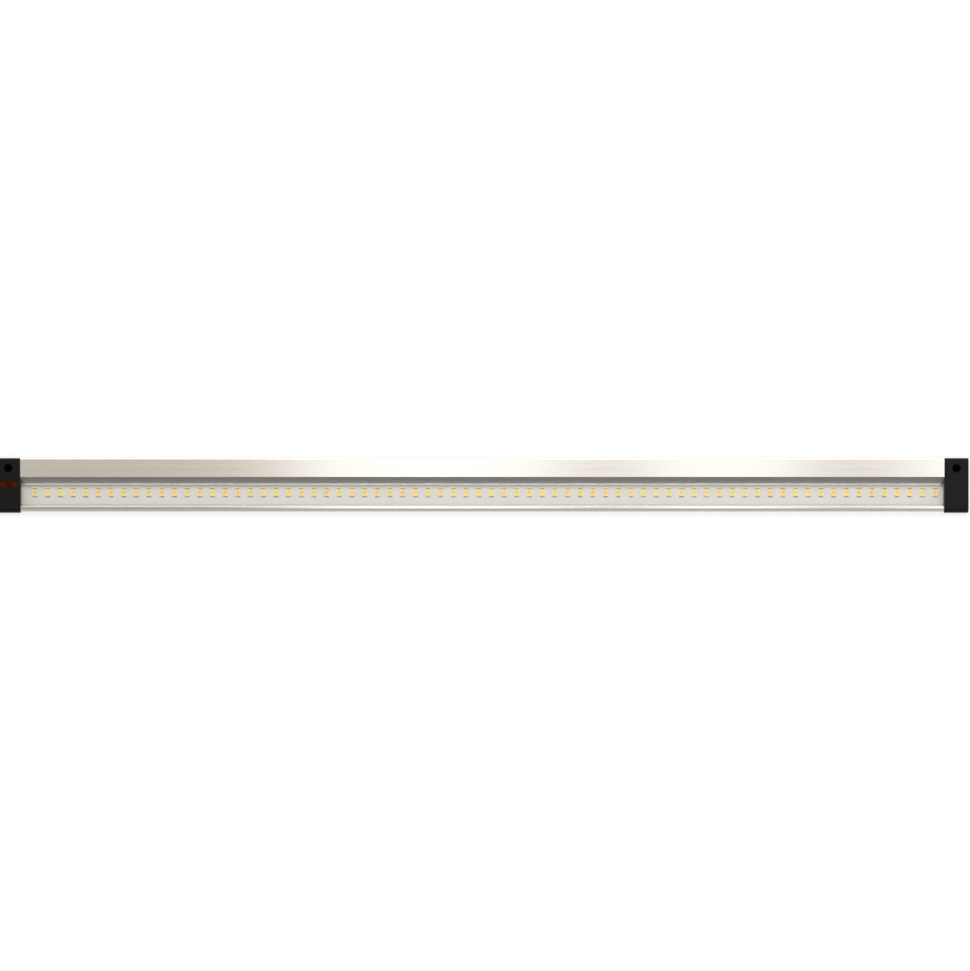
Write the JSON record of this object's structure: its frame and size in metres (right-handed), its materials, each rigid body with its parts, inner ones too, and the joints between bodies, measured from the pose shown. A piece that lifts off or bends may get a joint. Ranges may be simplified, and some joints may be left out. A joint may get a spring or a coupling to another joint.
{
  "type": "led light bar",
  "caption": "Slim low-voltage LED bar: aluminium profile with a clear-covered row of LEDs, black end caps with screw holes and sockets, and a hand-wave sensor.",
  "frame": {"origin": "centre of the flat mounting back (bottom centre of the bounding box)", "axes": "+X along the bar, away from the sensor cap; +Y across the bar towards the broad flat band; +Z out of the lit face"},
  "size_m": [0.508, 0.0286, 0.009],
  "materials": {
    "satin_aluminium": "satin anodised",
    "clear_plastic": "clear polycarbonate, smooth",
    "white_board": "white solder mask, semi-gloss",
    "thermal_tape": "matt",
    "led_white": "matt moulded",
    "led_phosphor": "yellow silicone, semi-gloss",
    "solder": "tin, dull",
    "black_plastic": "fine moulded grain",
    "screw_steel": "black oxide",
    "socket_plastic": "smooth moulded",
    "contact_brass": "tinned",
    "red_filter": "dark red tinted, polished",
    "eye_resin": "epoxy, polished",
    "green_board": "solder mask",
    "chip_black": "matt moulded",
    "capacitor_ceramic": "matt",
    "red_wire": "vinyl sleeve",
    "black_wire": "vinyl sleeve"
  },
  "bodies": {
    "root": {"aluminium_extrusion": "satin_aluminium", "clear_cover": "clear_plastic", "led_board": "white_board", "thermal_tape": "thermal_tape", "led_packages": "led_white", "led_phosphor": "led_phosphor", "led_solder_joints": "solder", "left_end_cap": "black_plastic", "right_end_cap": "black_plastic", "left_cap_back_plate": "black_plastic", "right_cap_back_plate": "black_plastic", "left_cap_screws": "screw_steel", "right_cap_screws": "screw_steel", "input_socket_housing": "socket_plastic", "input_socket_pin": "contact_brass", "input_socket_contact": "contact_brass", "output_socket_housing": "socket_plastic", "output_socket_pin": "contact_brass", "output_socket_contact": "contact_brass", "sensor_window": "red_filter", "sensor_holder": "black_plastic", "infrared_emitter": "eye_resin", "infrared_receiver": "eye_resin", "sensor_board": "green_board", "controller_chip": "chip_black", "dimming_transistor": "chip_black", "sensor_board_capacitors": "capacitor_ceramic", "sensor_board_resistors": "chip_black", "board_link_joints": "solder", "input_wire_positive": "red_wire", "input_wire_negative": "black_wire", "output_wire_positive": "red_wire", "output_wire_negative": "black_wire", "input_wire_joints": "solder", "output_wire_joints": "solder"}
  },
  "joints": []
}
